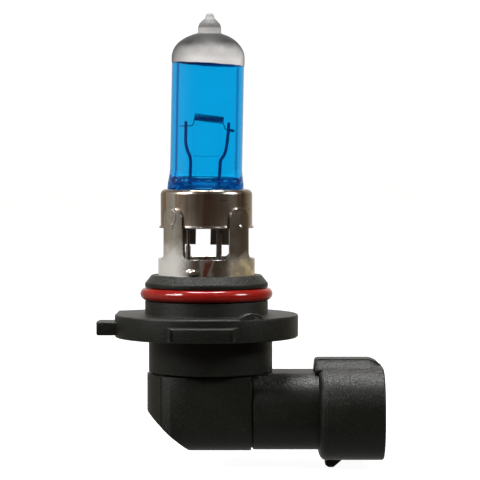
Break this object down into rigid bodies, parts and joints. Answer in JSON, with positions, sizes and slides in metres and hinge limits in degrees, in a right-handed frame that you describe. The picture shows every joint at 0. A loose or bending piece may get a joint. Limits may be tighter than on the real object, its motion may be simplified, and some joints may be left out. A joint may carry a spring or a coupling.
{
  "type": "headlight bulb",
  "caption": "Right-angle halogen headlight bulb: blue quartz capsule with silver cap, steel cup and ring, lugged flange, red sealing ring and side connector socket.",
  "frame": {"origin": "on the bulb's axis, in the top face of the flange, which is the reference plane that seats against the lamp", "axes": "+Z along the bulb's axis to the glass tip, +X out of the connector's mouth, -Y the side with the wide lug"},
  "size_m": [0.0464, 0.0333, 0.0734],
  "materials": {
    "blue_quartz": "clear quartz with a blue interference coat",
    "silver_paint": "satin heat-resistant cap paint",
    "tungsten": "drawn tungsten",
    "nickel_wire": "drawn wire",
    "molybdenum_foil": "rolled foil",
    "pressed_steel": "bright pressed sheet",
    "spring_steel": "rolled spring strip",
    "tinned_contact": "tinned",
    "black_moulding": "fine moulded grain",
    "insert_moulding": "smooth moulded",
    "sealing_compound": "poured resin",
    "red_silicone": "smooth gloss"
  },
  "bodies": {
    "root": {"glass_envelope": "blue_quartz", "filament_coil": "tungsten", "support_lead_left": "nickel_wire", "support_lead_right": "nickel_wire", "pinch_foil_left": "molybdenum_foil", "pinch_foil_right": "molybdenum_foil", "outer_lead_left": "nickel_wire", "outer_lead_right": "nickel_wire", "capsule_collar": "pressed_steel", "pinch_clip": "spring_steel", "mounting_ring": "pressed_steel", "contact_left": "tinned_contact", "contact_right": "tinned_contact", "contact_carrier": "insert_moulding", "seal_plug": "sealing_compound", "base_housing": "black_moulding", "rear_cover": "black_moulding", "o_ring": "red_silicone"}
  },
  "joints": []
}
